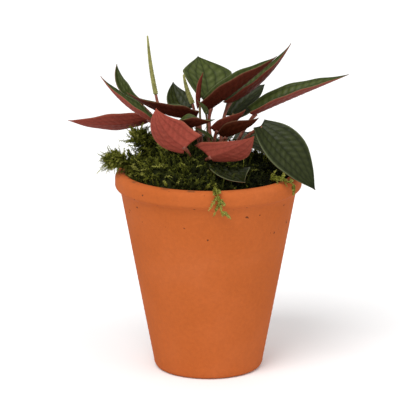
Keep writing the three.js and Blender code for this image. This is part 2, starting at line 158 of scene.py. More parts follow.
def make_piece(name, points, faces, materials, slot, face_material=None, **marks):
    """A mesh piece from points in millimetres. marks are per-point values for its material."""
    mesh = bpy.data.meshes.new(name)
    mesh.from_pydata((np.asarray(points) * MM).tolist(), [], [list(map(int, f)) for f in faces])
    for mat in materials:
        mesh.materials.append(mat)
    if face_material is not None:
        mesh.polygons.foreach_set("material_index", np.asarray(face_material, np.int32))
    mesh.polygons.foreach_set("use_smooth", np.full(len(mesh.polygons), True))
    for mark, values in marks.items():
        layer = mesh.attributes.new(mark, "FLOAT", "POINT")
        layer.data.foreach_set("value", np.asarray(values, np.float32))
    mesh.update()
    piece = bpy.data.objects.new(name, mesh)
    bpy.context.scene.collection.objects.link(piece)
    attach(piece, "root")
    return piece


def loft_faces(rings, count, start=0, cyclic=False):
    """Quads between rings of points that lie one after another, and the end caps."""
    faces = []
    spans = rings if cyclic else rings - 1
    for i in range(spans):
        a = start + i * count
        b = start + ((i + 1) % rings) * count
        for j in range(count):
            k = (j + 1) % count
            faces.append((a + j, a + k, b + k, b + j))
    if not cyclic:
        faces.append(tuple(start + count - 1 - j for j in range(count)))
        faces.append(tuple(start + (rings - 1) * count + j for j in range(count)))
    return faces


def lathe(profile, segments, wobble=None):
    """A surface turned about +Z from a closed profile of (radius, height) points."""
    profile = np.asarray(profile, float)
    angles = np.arange(segments) / segments * TAU
    radius = np.repeat(profile[None, :, 0], segments, 0)
    height = np.repeat(profile[None, :, 1], segments, 0)
    if wobble is not None:
        radius = radius + wobble(angles[:, None], height)
    x = radius * np.cos(angles)[:, None]
    y = radius * np.sin(angles)[:, None]
    points = np.stack([x, y, height], -1).reshape(-1, 3)
    return points, loft_faces(segments, len(profile), cyclic=True)


def bezier(points, t):
    """A Bezier curve through any number of control points, at the shares t."""
    points = np.asarray(points, float)
    n = len(points) - 1
    terms = [math.comb(n, i) * (1 - t) ** (n - i) * t**i for i in range(n + 1)]
    return sum(term[:, None] * p for term, p in zip(terms, points))


def tube_points(path, radii, sides):
    """Rings round a path that keep their turn, so that the tube doesn't twist."""
    path = np.asarray(path, float)
    tangent = unit(np.gradient(path, axis=0))
    across = unit(np.cross(tangent[0], (0.31, 0.52, 0.79)))
    rings = []
    angles = np.arange(sides) / sides * TAU
    for centre, way, radius in zip(path, tangent, radii):
        across = unit(across - way * (across @ way))
        other = np.cross(way, across)
        ring = np.cos(angles)[:, None] * across + np.sin(angles)[:, None] * other
        rings.append(centre + radius * ring)
    return np.concatenate(rings)


class Parts:
    """Collects points, faces and marks of many small shapes for one piece."""

    def __init__(self):
        self.points, self.faces, self.marks, self.total = [], [], [], 0

    def add(self, points, faces, mark):
        self.points.append(points)
        self.faces.append(np.asarray(faces) + self.total)
        self.marks.append(np.broadcast_to(mark, len(points)))
        self.total += len(points)

    def piece(self, name, materials, slot):
        faces = [f for block in self.faces for f in block.tolist()]
        return make_piece(name, np.concatenate(self.points), faces, materials, slot,
                          shade=np.concatenate(self.marks))


# ---------- Materials ----------


class Nodes:
    """Short calls for building a material's node tree."""

    def __init__(self, name):
        self.material = bpy.data.materials.new(name)
        self.material.use_nodes = True
        self.tree = self.material.node_tree
        self.shader = self.tree.nodes["Principled BSDF"]
        self.place = self.tree.nodes.new("ShaderNodeTexCoord").outputs["Object"]

    def link(self, value, socket):
        if isinstance(value, bpy.types.NodeSocket):
            self.tree.links.new(value, socket)
        elif isinstance(value, (tuple, list)):
            socket.default_value = (*value, 1) if len(value) == 3 else value
        else:
            socket.default_value = value

    def mark(self, name):
        node = self.tree.nodes.new("ShaderNodeAttribute")
        node.attribute_name = name
        return node.outputs["Fac"]

    def noise(self, size_mm, detail=3.0, rough=0.5):
        node = self.tree.nodes.new("ShaderNodeTexNoise")
        self.link(self.place, node.inputs["Vector"])
        node.inputs["Scale"].default_value = 1 / (size_mm * MM)
        node.inputs["Detail"].default_value = detail
        node.inputs["Roughness"].default_value = rough
        return node.outputs["Fac"]

    def ramp(self, value, *stops):
        node = self.tree.nodes.new("ShaderNodeValToRGB")
        self.link(value, node.inputs["Fac"])
        elements = node.color_ramp.elements
        while len(elements) < len(stops):
            elements.new(0.5)
        for element, (place, colour) in zip(elements, stops):
            element.position = place
            element.color = (*colour, 1) if len(colour) == 3 else colour
        return node.outputs["Color"]

    def mix(self, share, a, b, way="MIX"):
        node = self.tree.nodes.new("ShaderNodeMix")
        node.data_type = "RGBA"
        node.blend_type = way
        self.link(share, node.inputs[0])
        self.link(a, node.inputs[6])
        self.link(b, node.inputs[7])
        return node.outputs[2]

    def math(self, operation, a, b=0.0):
        node = self.tree.nodes.new("ShaderNodeMath")
        node.operation = operation
        self.link(a, node.inputs[0])
        self.link(b, node.inputs[1])
        return node.outputs[0]

    def span(self, value, low, high, to_low=0.0, to_high=1.0):
        node = self.tree.nodes.new("ShaderNodeMapRange")
        self.link(value, node.inputs["Value"])
        node.inputs["From Min"].default_value = low
        node.inputs["From Max"].default_value = high
        node.inputs["To Min"].default_value = to_low
        node.inputs["To Max"].default_value = to_high
        return node.outputs[0]

    def bump(self, height, depth_mm, strength=1.0):
        node = self.tree.nodes.new("ShaderNodeBump")
        self.link(height, node.inputs["Height"])
        node.inputs["Distance"].default_value = depth_mm * MM
        node.inputs["Strength"].default_value = strength
        self.link(node.outputs[0], self.shader.inputs["Normal"])

    def done(self, colour, roughness):
        self.link(colour, self.shader.inputs["Base Color"])
        self.link(roughness, self.shader.inputs["Roughness"])
        return self.material


def terracotta():
    n = Nodes("terracotta")
    mottle = n.noise(34, 3, 0.5)
    fine = n.noise(2.2, 4, 0.6)
    body = n.ramp(mottle, (0.3, (0.425, 0.100, 0.021)), (0.55, (0.448, 0.108, 0.025)),
                  (0.8, (0.470, 0.120, 0.033)))
    grain = n.ramp(fine, (0.3, (0.94, 0.93, 0.92)), (0.7, (1.05, 1.06, 1.08)))
    body = n.mix(1.0, body, grain, "MULTIPLY")
    specks = n.math("MULTIPLY", n.span(n.noise(3.0, 1), 0.735, 0.765), n.mark("specks"))
    body = n.mix(specks, body, (0.13, 0.035, 0.012))
    soot = n.math("MULTIPLY", n.span(n.noise(9, 4), 0.55, 0.72), n.mark("soil_line"))
    body = n.mix(soot, body, (0.10, 0.050, 0.022))
    n.bump(n.math("ADD", fine, n.noise(0.7, 2)), 0.25, 0.5)
    n.shader.inputs["Specular IOR Level"].default_value = 0.1
    return n.done(body, n.span(fine, 0.3, 0.7, 0.78, 0.95))


def soil_material():
    n = Nodes("soil")
    crumbs = n.noise(1.8, 5, 0.7)
    colour = n.ramp(crumbs, (0.35, (0.008, 0.005, 0.003)), (0.6, (0.035, 0.020, 0.011)),
                    (0.8, (0.09, 0.055, 0.03)))
    n.bump(crumbs, 0.8)
    return n.done(colour, n.span(crumbs, 0.3, 0.7, 0.85, 1.0))


def leaf_material(name, under, tone_and_shade):
    """Green above and red beneath, with painted light that follows the relief: painted shade in
    the sunken veins and a painted highlight on the ridges above, and beneath, paler raised veins
    and painted shade in the hollows. The second value is painted shade on the underside: 0 leaves
    it a lit pink, 1 makes it a near-black red. The third scales the green, partly its own tone and
    partly painted shade.
    """
    n = Nodes(name)
    rib, edge, below, vein = (n.mark(mark) for mark in ("rib", "edge", "below", "vein"))
    patches = n.noise(6, 4, 0.6)
    fine = n.noise(0.9, 3)

    # The green is scaled by the leaf's tone, which is partly its own and partly painted shade on leaves
    # that sit in shadow.
    def green(*colour):
        return tuple(tone_and_shade * c for c in colour)

    # Painted light from the relief: the green is darkest in the sunken veins (rib 0), as painted shade,
    # and palest on the ridges (rib 1), as a painted highlight.
    top = n.ramp(rib, (0.0, green(0.020, 0.028, 0.005)), (0.35, green(0.046, 0.061, 0.011)),
                 (0.8, green(0.072, 0.090, 0.022)), (1.0, green(0.112, 0.132, 0.044)))
    top = n.mix(n.span(patches, 0.35, 0.7, 0.0, 0.4), top, green(0.036, 0.050, 0.008))
    # The long veins, sunken on this side, are painted darker: partly their own colour and partly painted
    # shade in their grooves.
    top = n.mix(n.math("MULTIPLY", vein, 0.55), top, green(0.020, 0.027, 0.005))
    margin = n.span(edge, 0.90, 0.99)
    top = n.mix(n.math("MULTIPLY", margin, 0.5), top, (0.17, 0.19, 0.085))
    # Beneath, both reds also follow the relief as painted light: paler on the raised veins and darker, as
    # painted shade, in the hollows under the ridges. pink is the lit underside.
    pink = n.ramp(rib, (0.0, (0.31, 0.064, 0.042)), (0.5, (0.275, 0.052, 0.035)),
                  (1.0, (0.24, 0.042, 0.028)))
    # dark is a near-black red: painted shade for undersides that face down.
    dark = n.ramp(rib, (0.0, (0.052, 0.010, 0.003)), (0.5, (0.040, 0.007, 0.002)),
                  (1.0, (0.032, 0.005, 0.0015)))
    pink = n.mix(n.math("MULTIPLY", vein, 0.6), pink, (0.13, 0.020, 0.013))
    # Painted shade: each underside is mixed from the lit pink towards the near-black red by how shaded it
    # is set to be.
    red = n.mix(under, pink, dark)
    red = n.mix(n.span(patches, 0.4, 0.75, 0.0, 0.3), red, (0.24, 0.058, 0.034) if under < 0.5
                else (0.030, 0.009, 0.002))
    red = n.mix(n.math("MULTIPLY", margin, 0.22), red, (0.26, 0.15, 0.08))
    colour = n.mix(n.span(below, 0.35, 0.65), top, red)
    grain = n.ramp(fine, (0.3, (0.88, 0.88, 0.88)), (0.7, (1.10, 1.10, 1.10)))
    colour = n.mix(1.0, colour, grain, "MULTIPLY")
    n.bump(n.math("ADD", fine, n.math("MULTIPLY", n.noise(2.4, 2), 1.5)), 0.16, 0.6)
    n.link(n.span(below, 0, 1, 0.13, 0.06), n.shader.inputs["Specular IOR Level"])
    rough = n.span(fine, 0.3, 0.7, 0.32, 0.42)
    return n.done(colour, n.math("ADD", rough, n.math("MULTIPLY", below, 0.14)))


def stem_material(name, low, high):
    n = Nodes(name)
    streak = n.noise(2.5, 4, 0.6)
    n.bump(n.noise(0.6, 2), 0.1, 0.6)
    return n.done(n.ramp(streak, (0.35, low), (0.65, high)), n.span(streak, 0.3, 0.7, 0.4, 0.6))


def moss_material(name, *stops):
    """Each strand's shade mark picks its colour between dark and pale."""
    n = Nodes(name)
    shade = n.math("ADD", n.mark("shade"), n.span(n.noise(1.2, 3), 0.3, 0.7, -0.12, 0.12))
    n.bump(n.noise(0.4, 2), 0.1, 0.6)
    n.shader.inputs["Specular IOR Level"].default_value = 0.12
    return n.done(n.ramp(shade, *stops), n.span(n.noise(2, 2), 0.3, 0.7, 0.65, 0.9))


TERRACOTTA = terracotta()
SOIL = soil_material()
PETIOLE_RED = stem_material("petiole_red", (0.10, 0.020, 0.010), (0.30, 0.085, 0.045))
PETIOLE_GREEN = stem_material("petiole_green", (0.10, 0.085, 0.020), (0.24, 0.13, 0.05))
CROWN_STEM = stem_material("crown_stem", (0.05, 0.020, 0.010), (0.14, 0.07, 0.03))
SPIKE_GREEN = stem_material("spike_green", (0.20, 0.195, 0.045), (0.42, 0.40, 0.13))
# The near-black lowest stops are painted shade, taken mostly by the moss bed in the crevices under the
# shoots.
MOSS_GREEN = moss_material("moss_green", (0.0, (0.003, 0.004, 0.0006)), (0.28, (0.014, 0.018, 0.002)),
                           (0.5, (0.048, 0.056, 0.006)), (0.75, (0.18, 0.19, 0.020)),
                           (1.0, (0.44, 0.43, 0.10)))

# ---------- Pot and soil ----------


def arc(centre, radii, start, stop, steps=8):
    """Points on an elliptic arc; the angles are in degrees, from +radius towards +height."""
    angles = np.radians(np.linspace(start, stop, steps))
    return [(centre[0] + radii[0] * math.cos(a), centre[1] + radii[1] * math.sin(a))
            for a in angles]


def line(start, stop, steps):
    share = np.linspace(0, 1, steps)[:, None]
    return [tuple(p) for p in np.asarray(start) * (1 - share) + np.asarray(stop) * share]


BASE_RADIUS, NECK_RADIUS, NECK_HEIGHT = 31.0, 49.0, 101.0
WALL, FLOOR, DRAIN_RADIUS = 4.6, 6.0, 6.0
INNER_TOP = RIM_RADIUS - 7


def inner_radius(z):
    low = BASE_RADIUS - WALL
    return low + (z - FLOOR - 2) / (POT_HEIGHT - 4 - FLOOR - 2) * (INNER_TOP - low)


def build_pot():
    rim_low = NECK_HEIGHT + 3.2
    profile = [(DRAIN_RADIUS + 0.6, 0), *line((8, 0), (BASE_RADIUS - 4.5, 0), 4)]
    profile += arc((BASE_RADIUS - 3.4, 3.4), (3.4, 3.4), -80, -8, 7)
    profile += line((BASE_RADIUS + 0.15, 4.4), (NECK_RADIUS - 0.1, NECK_HEIGHT - 0.8), 60)
    profile += [(NECK_RADIUS + 0.25, NECK_HEIGHT + 0.6), (NECK_RADIUS + 0.8, NECK_HEIGHT + 1.9)]
    profile += arc((RIM_RADIUS - 2.6, rim_low + 2.4), (2.6, 2.6), -68, -4, 7)
    profile += line((RIM_RADIUS, rim_low + 3.2), (RIM_RADIUS, POT_HEIGHT - 4.6), 3)
    profile += arc((RIM_RADIUS - 3.7, POT_HEIGHT - 4.0), (3.7, 4.0), 8, 90, 9)
    profile += arc((RIM_RADIUS - 4.2, POT_HEIGHT - 3.2), (2.8, 3.2), 100, 176, 7)
    profile += line((INNER_TOP, POT_HEIGHT - 4.2), (BASE_RADIUS - WALL, FLOOR + 2), 30)
    profile += [(BASE_RADIUS - WALL - 2, FLOOR), (DRAIN_RADIUS + 0.6, FLOOR),
                (DRAIN_RADIUS, FLOOR - 0.8), (DRAIN_RADIUS, 0.8)]

    def wobble(angle, height):
        rings = 0.06 * np.sin(height * 2.1 + 0.4 * np.sin(angle)) * (height < NECK_HEIGHT)
        return rings + 0.10 * np.sin(2 * angle + height * 0.02) * (height > 6)

    points, faces = lathe(profile, 220, wobble)
    soil_line = np.clip((points[:, 2] - POT_HEIGHT + 5) / 4, 0, 1)
    soil_line = soil_line * (np.hypot(points[:, 0], points[:, 1]) < RIM_RADIUS - 2.4)
    points[:, 0] = np.clip(points[:, 0], POT_LOW[0], POT_HIGH[0])
    pot = make_piece("terracotta_pot", points, faces, [TERRACOTTA], "terracotta",
                     soil_line=soil_line, specks=points[:, 2] > NECK_HEIGHT * 0.8)
    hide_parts("pot")


def build_soil():
    low, high = box_mm("potting_soil")
    profile = [(0.01, low[2]), (inner_radius(low[2]) - 3, low[2]),
               *line((inner_radius(low[2] + 2) - 0.4, low[2] + 2),
                     (inner_radius(high[2]) - 0.4, high[2] - 0.5), 20),
               *line((inner_radius(high[2]) - 1.5, high[2]), (0.01, high[2]), 40)]
    points, faces = lathe(profile, 140)
    crumb = np.sin(points[:, 0] * 2.3) * np.sin(points[:, 1] * 2.9) + rng.normal(0, 0.5, len(points))
    points[:, 2] += np.where(points[:, 2] > high[2] - 0.2, 0.35 * crumb - 0.4, 0)
    soil = make_piece("soil", points, faces, [SOIL], "soil")
    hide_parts("potting_soil")


def build_crown():
    heights = np.linspace(CROWN_LOW[2], KNOB_HEIGHT, 24)
    rise = np.clip((heights - CROWN_LOW[2] - 8) / (KNOB_HEIGHT - CROWN_LOW[2] - 8), 0, 1)
    wall = [(5 + (KNOB_RADIUS - 5) * r**0.6, z) for r, z in zip(rise, heights)]
    profile = [(0.01, CROWN_LOW[2]), *wall,
               *arc((0, KNOB_HEIGHT), (KNOB_RADIUS, KNOB_RADIUS), 6, 89.9, 14)]

    def knobs(angle, height):
        return 0.35 * np.sin(7 * angle + height) * np.sin(height * 1.7) * (height > CROWN_LOW[2] + 1)

    points, faces = lathe(profile, 60, knobs)
    crown = make_piece("crown_stem", points, faces, [CROWN_STEM], "stem")
    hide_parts("crown")


# ---------- Leaves ----------

VEIN_LANES = 2.6  # side veins on each half of a blade
RELIEF_SHARE, RELIEF_LIMIT = 0.06, 0.75  # how high the ridges stand: share of the half width, mm
BLADE_THICKNESS, PETIOLE_RADIUS = 0.95, 1.0


def shape_value(leaf, name, usual, s):
    """A shape value of the leaf on the side of s; a pair is for its left and its right half."""
    value = leaf.get(name, usual)
    return np.where(s > 0, value[1], value[0]) if isinstance(value, tuple) else value


def outline(leaf, t, s):
    """Half the blade's width along its length and on each side, as a share of its widest half."""
    widest, shoulder = shape_value(leaf, "widest", 0.32, s), shape_value(leaf, "shoulder", 0.42, s)
    rising = shoulder + (1 - shoulder) * np.sin(np.minimum(t / widest, 1) * math.pi / 2)
    u = np.clip((t - widest) / (1 - widest), 0, 1)
    falling = (1 - u ** shape_value(leaf, "point", 1.7, s)) ** 1.15
    return np.where(t < widest, rising, falling) * (1 + leaf.get("lean", 0) * np.sign(s) * (1 - t))


def midrib(leaf):
    base, mid, tip = (np.array(leaf[k], float) for k in ("base", "mid", "tip"))
    return [base, 2 * mid - 0.5 * base - 0.5 * tip, tip]


def ridges(t, s, length):
    """Height of the blade's relief: 0 in the sunken veins and up to 1 on the ridges between."""
    lanes = np.abs(s) * VEIN_LANES
    long_ridge = np.abs(np.sin(math.pi * lanes)) ** 0.6
    slant = t * length / 4.0 - 0.75 * lanes
    cross_ridge = (0.5 + 0.5 * np.sin(TAU * slant + 0.8 * np.sin(lanes * 3))) ** 0.7
    return np.clip(0.42 * long_ridge + 0.58 * (0.35 + 0.65 * long_ridge) * cross_ridge, 0, 1)


def veins(s):
    """1 on the midrib and on the long side veins, and 0 between them."""
    lanes = np.abs(s) * VEIN_LANES
    return np.exp(-((lanes - np.round(lanes)) / 0.12) ** 2) * (lanes < 2.3)


def blade_points(leaf, t, s):
    """Points of the blade's middle surface; t is along it, 0 to 1, and s across it, -1 to 1."""
    control = midrib(leaf)
    length = np.linalg.norm(np.diff(bezier(control, np.linspace(0, 1, 30)), axis=0), axis=1).sum()
    side = np.abs(s)
    along = t - shape_value(leaf, "lobe", 0.13, s) * side**1.5 * (1 - t) ** 4
    held = np.maximum(along, 0)
    centre = bezier(control, held)
    tangent = unit(2 * (1 - held)[:, None] * (control[1] - control[0])
                   + 2 * held[:, None] * (control[2] - control[1]))
    centre = centre + tangent * (np.minimum(along, 0) * length)[:, None]
    face = unit(np.array(leaf["face"], float))
    up = unit(face - tangent * (tangent @ face)[:, None])
    across = np.cross(tangent, up)
    shape = outline(leaf, t, s)
    half = np.maximum(shape * leaf["width"], 0.5) / 2
    angle = np.radians(leaf["fold"] * side / (side + 0.06) * 1.06 * (1 - 0.6 * t**4) + leaf["curl"] * side)
    ruffle = leaf.get("wave", 0.25) * np.sin(t * length / 2.6 + 2.2 * np.sign(s)) * side**3
    ruffle = ruffle * np.sin(np.clip(t, 0, 1) * math.pi) ** 0.5
    rib = ridges(t, s, length)
    fade = np.sin(np.clip(t * 1.02 + 0.04, 0, 1) * math.pi) ** 0.4 * (1 - side**6)
    relief = RELIEF_SHARE * leaf["width"] * 0.5 * fade * rib * shape
    out = across * (s * half * np.cos(angle))[:, None]
    lift = up * (side * half * np.sin(angle) + ruffle + np.minimum(relief, RELIEF_LIMIT))[:, None]
    return centre + out + lift, rib * fade


def seat_of(seat):
    azimuth, tilt = np.radians(seat[0]), np.radians(seat[1])
    out = np.array([math.sin(tilt) * math.cos(azimuth), math.sin(tilt) * math.sin(azimuth),
                    math.cos(tilt)])
    return np.array([0, 0, KNOB_HEIGHT]) + out * (KNOB_RADIUS - 0.6), out


def petiole(leaf, sides=12, steps=26):
    control = midrib(leaf)
    start, out = seat_of(leaf["seat"])
    base = control[0]
    way = unit(control[1] - control[0])
    reach = np.linalg.norm(base - start)
    arrive = unit(unit(base - start) + 0.5 * way)
    path = bezier([start, start + out * reach * 0.35, base - arrive * reach * 0.3, base + way * 1.5],
                  np.linspace(0, 1, steps))
    radius = min(PETIOLE_RADIUS, leaf["width"] * 0.12)
    share = np.linspace(0, 1, steps)
    radii = radius * (1.15 - 0.3 * share + 0.35 * np.exp(-((1 - share) * 9) ** 2))
    return tube_points(path, radii, sides), loft_faces(steps, sides)


def build_leaf(leaf):
    length = np.linalg.norm(np.subtract(leaf["tip"], leaf["base"]))
    rows = int(np.clip(length * 1.5, 26, 84))
    columns = int(np.clip(leaf["width"] * 2.2, 14, 56)) // 2 * 2
    t, s = np.meshgrid(np.linspace(0, 1, rows + 1) ** 0.92, np.linspace(-1, 1, columns + 1),
                       indexing="ij")
    s = np.sign(s) * np.abs(s) ** 0.9
    t, s = t.ravel(), s.ravel()
    middle, rib = blade_points(leaf, t, s)
    grid = middle.reshape(rows + 1, columns + 1, 3)
    normal = unit(np.cross(np.gradient(grid, axis=1), np.gradient(grid, axis=0))).reshape(-1, 3)
    thick = min(BLADE_THICKNESS, leaf["width"] * 0.14)
    thick = thick * np.sqrt(np.clip(1.03 - s**8, 0, 1)) * (0.35 + 0.65 * (1 - t**6)) / 2
    top = (middle + normal * thick[:, None]).reshape(rows + 1, columns + 1, 3)
    low = (middle - normal * thick[:, None]).reshape(rows + 1, columns + 1, 3)
    rings = np.concatenate([top, low[:, ::-1]], axis=1)
    count = 2 * (columns + 1)
    points = rings.reshape(-1, 3)
    faces = []
    for i in range(rows):
        for j in range(count):
            k = (j + 1) % count
            a, b = i * count, (i + 1) * count
            faces.append((a + j, a + k, b + k, b + j))
    last = rows * count
    for j in range(columns):
        faces.append((j + 1, j, count - 1 - j, count - 2 - j))
        faces.append((last + j, last + j + 1, last + count - 2 - j, last + count - 1 - j))

    def both(values):
        values = values.reshape(rows + 1, columns + 1)
        return np.concatenate([values, values[:, ::-1]], axis=1).ravel()

    below = np.concatenate([np.zeros((rows + 1, columns + 1)), np.ones((rows + 1, columns + 1))],
                           axis=1).ravel()
    edge = both(np.maximum(np.abs(s), 1 - (1 - t) * length / 3.5))
    stem_points, stem_faces = petiole(leaf)
    shift = len(points)
    extra = np.zeros(len(stem_points))
    all_faces = faces + [tuple(v + shift for v in f) for f in stem_faces]
    which = [0] * len(faces) + [1] * len(stem_faces)
    stem = PETIOLE_GREEN if leaf["under"] == 0.5 else PETIOLE_RED
    # The leaf's skin carries its painted shade: how dark its underside is and how dark its green is.
    material = leaf_material(leaf["name"] + "_skin", leaf["under"], leaf.get("tone_and_shade", 0.7))
    piece = make_piece(leaf["name"] + "_blade", np.concatenate([points, stem_points]), all_faces,
                       [material, stem], "leaf", which, rib=np.concatenate([both(rib), extra]),
                       edge=np.concatenate([edge, extra]),
                       vein=np.concatenate([both(veins(s)), extra]), below=np.concatenate([below, extra]))
    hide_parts(leaf["name"])


# ---------- Flower spikes ----------


def bead(centre, way, length, radius):
    """A small closed bump that points along way: two rings and two ends."""
    across = unit(np.cross(way, (0.3, 0.5, 0.8)))
    other = np.cross(way, across)
    angles = np.arange(6) / 6 * TAU
    ring = np.cos(angles)[:, None] * across + np.sin(angles)[:, None] * other
    points = [centre - way * length * 0.4]
    points += list(centre + ring * radius * 0.9)
    points += list(centre + way * length * 0.45 + ring * radius * 0.65)
    points += [centre + way * length * 0.75]
    return np.array(points)


BEAD_FACES = ([(0, 1 + (j + 1) % 6, 1 + j) for j in range(6)]
              + [f for j in range(6) for f in ((1 + j, 1 + (j + 1) % 6, 7 + (j + 1) % 6),
                                               (1 + j, 7 + (j + 1) % 6, 7 + j))]
              + [(13, 7 + j, 7 + (j + 1) % 6) for j in range(6)])


def build_spike(spike):
    start, out = seat_of(spike["seat"])
    stalk, tip = np.array(spike["stalk"], float), np.array(spike["tip"], float)
    rise = np.linalg.norm(stalk - start)
    upward = unit(tip - stalk)
    steps = 30
    path = bezier([start, start + out * rise * 0.4, stalk - upward * rise * 0.35, stalk],
                  np.linspace(0, 1, steps))
    points = tube_points(path, np.linspace(0.95, 0.8, steps), 12)
    faces = loft_faces(steps, 12)
    stem_count = len(faces)
    bend = np.array([-0.6, 0.3, 0.0])
    share = np.linspace(0, 1, 40)
    core = stalk + (tip - stalk) * share[:, None] + bend * np.sin(share * math.pi)[:, None]
    radii = spike["radius"] * (1 - 0.72 * share**1.8) - 0.3
    core_points = tube_points(core, np.maximum(radii, 0.15), 12)
    faces += [tuple(v + len(points) for v in f) for f in loft_faces(40, 12)]
    points = [points, core_points]
    total = sum(map(len, points))
    bumps = int(np.linalg.norm(tip - stalk) * 11)
    for i in range(bumps):
        at = (i + 0.5) / bumps * 0.985
        k = min(int(at * 39), 38)
        centre = core[k] + (core[k + 1] - core[k]) * (at * 39 - k)
        across = unit(np.cross(upward, (1, 0, 0)))
        other = np.cross(upward, across)
        angle = i * 2.39996
        way = math.cos(angle) * across + math.sin(angle) * other
        radius = max(radii[k], 0.15)
        points.append(bead(centre + way * radius, unit(way + upward * 0.35), 0.62, 0.36))
        faces += [tuple(v + total for v in f) for f in BEAD_FACES]
        total += 14
    which = [1] * stem_count + [0] * (len(faces) - stem_count)
    piece = make_piece(spike["name"] + "_beads", np.concatenate(points), faces,
                       [SPIKE_GREEN, PETIOLE_RED], "flower_spike", which)
    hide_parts(spike["name"])


# ---------- Moss ----------

SCALE_SPREAD = 0.9  # how far a scale stands out from its stem
SCALE_FACES = np.array([(0, 1, 3), (1, 2, 3), (2, 0, 3), (0, 2, 1)])


def strand_faces(steps, sides=3):
    faces = []
    for i in range(steps - 1):
        for j in range(sides):
            a, b = i * sides, (i + 1) * sides
            k = (j + 1) % sides
            faces += [(a + j, a + k, b + k), (a + j, b + k, b + j)]
    last = (steps - 1) * sides
    return np.array(faces + [(2, 1, 0), (last, last + 1, last + 2)])


STRANDS = {steps: strand_faces(steps) for steps in (5, 8, 12)}


def add_frond(parts, path, shade, scales, scale_length, radius):
    """A moss shoot: a thin stem with small pointed scales all along it."""
    steps = len(path)
    tint = np.linspace(shade - 0.12, shade + 0.12, steps)
    taper = np.linspace(1, 0.45, steps)
    parts.add(tube_points(path, radius * taper, 3), STRANDS[steps], np.repeat(tint, 3))
    at = np.linspace(0.06, 1, scales)
    place = np.stack([np.interp(at * (steps - 1), np.arange(steps), path[:, i]) for i in range(3)], 1)
    way = unit(np.stack([np.interp(at * (steps - 1), np.arange(steps),
                                   np.gradient(path[:, i])) for i in range(3)], 1))
    flat = unit(np.cross(way, rng.normal(0, 1, 3)))
    rise = np.cross(way, flat)
    turn = np.where(np.arange(scales) % 2, 1.0, -1.0)
    lean = rng.normal(0, 0.45, scales)
    out = flat * (turn * np.cos(lean))[:, None] + rise * np.sin(lean)[:, None]
    size = scale_length * (1 - 0.55 * at**2) * rng.uniform(0.7, 1.2, scales)
    direction = unit(out * SCALE_SPREAD + way * 0.75)
    cross = unit(np.cross(direction, rise + 0.2 * flat))
    root = place
    tip = place + direction * size[:, None]
    middle = place + direction * (size * 0.42)[:, None]
    left = middle + cross * (size * 0.22)[:, None]
    right = middle - cross * (size * 0.22)[:, None] + rise * (size * 0.1)[:, None]
    points = np.stack([root, left, tip, right], 1).reshape(-1, 3)
    faces = (SCALE_FACES[None] + 4 * np.arange(scales)[:, None, None]).reshape(-1, 3)
    marks = np.repeat(shade + 0.25 * at - 0.08 + rng.normal(0, 0.05, scales), 4)
    parts.add(points, faces, marks)


def curved_path(start, way, length, droop, steps=5):
    """A path that sets out along way and sinks by droop of its length at its end."""
    share = np.linspace(0, 1, steps)[:, None]
    sway = rng.normal(0, 0.22, 3)
    sink = np.array([0, 0, -droop])
    return start + length * (unit(way) * share + (sway + sink) * share**2)


def moss_height(x, y):
    """The moss's top: a mound that is highest at the left and the back, and heaped round the
    stalks of the two leaves nearest the front."""
    radius = np.hypot(x, y) / inner_radius(POT_HEIGHT - 4)
    high_side = np.clip(0.75 - 0.5 * x / 45 + 0.3 * y / 45, 0.3, 1.25)
    mound = MOSS_HIGH[2] - 2.0 + 17 * (1 - radius**2.2) * high_side
    lumps = (1.2 * np.sin(x * 0.29 + 1) * np.sin(y * 0.33)
             + 0.8 * np.sin(x * 0.71) * np.sin(y * 0.63 + 2))
    near_left = 7 * np.exp(-((x + 14) ** 2 + (y + 22) ** 2) / 260)
    near_front = 5 * np.exp(-((x - 1) ** 2 + (y + 26) ** 2) / 160)
    return mound + near_left + near_front + lumps


def build_moss_bed():
    """The matted bed that the shoots grow from. Its near-black colour is partly the mat's own dark and
    partly painted shade in the crevices between the shoots.
    """
    outer, inner = inner_radius(POT_HEIGHT - 6) - 0.6, KNOB_RADIUS + 1.4
    floor = MOSS_LOW[2] + 0.3
    profile = [*line((inner_radius(MOSS_LOW[2]) - 0.8, floor), (inner, floor), 8),
               *line((inner, MOSS_LOW[2] + 6), (outer, POT_HEIGHT - 4), 46)]
    points, faces = lathe(profile, 170)
    top = points[:, 2] > MOSS_LOW[2] + 3
    share = (np.hypot(points[:, 0], points[:, 1]) - inner) / (outer - inner)
    target = moss_height(points[:, 0], points[:, 1]) - 1.4
    centre_dip = (MOSS_HIGH[2] - 6 - target) * (1 - np.clip(share * 3.5, 0, 1))
    rough = rng.normal(0, 0.3, len(points))
    points[:, 2] = np.where(top, target + centre_dip + rough, points[:, 2])
    # Painted shade: the bed takes the darkest moss colours, standing in for the shade in the crevices
    # under the shoots.
    shade = 0.10 + 0.2 * rng.random(len(points))
    bed = make_piece("moss_bed", points, faces, [MOSS_GREEN], "moss", shade=shade)
    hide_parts("moss_mat")


def grow_shoots(name, count, where, shade_at, height=5.5):
    """Short shoots all over one sector of the mound."""
    parts = Parts()
    reach = inner_radius(POT_HEIGHT - 4) - 0.5
    for _ in range(count):
        angle = rng.uniform(*where)
        radius = reach * math.sqrt(rng.uniform(0.05, 1))
        x, y = radius * math.cos(angle), radius * math.sin(angle)
        start = np.array([x, y, moss_height(x, y) - 1.6])
        lean = rng.normal(0, 0.75, 3) + np.array([0.25 * x / reach, 0.25 * y / reach, 1.0])
        lean[2] = abs(lean[2])
        length = height * rng.uniform(0.6, 1.5)
        path = curved_path(start, lean, length, rng.uniform(0.1, 0.6))
        far = np.hypot(path[:, 0], path[:, 1])
        path[:, :2] *= np.minimum(1, (reach + 1.2) / far)[:, None]
        add_frond(parts, path, shade_at(x, y) + rng.normal(0, 0.13), 24, rng.uniform(1.3, 2.3), 0.3)
    parts.piece(name, [MOSS_GREEN], "moss")


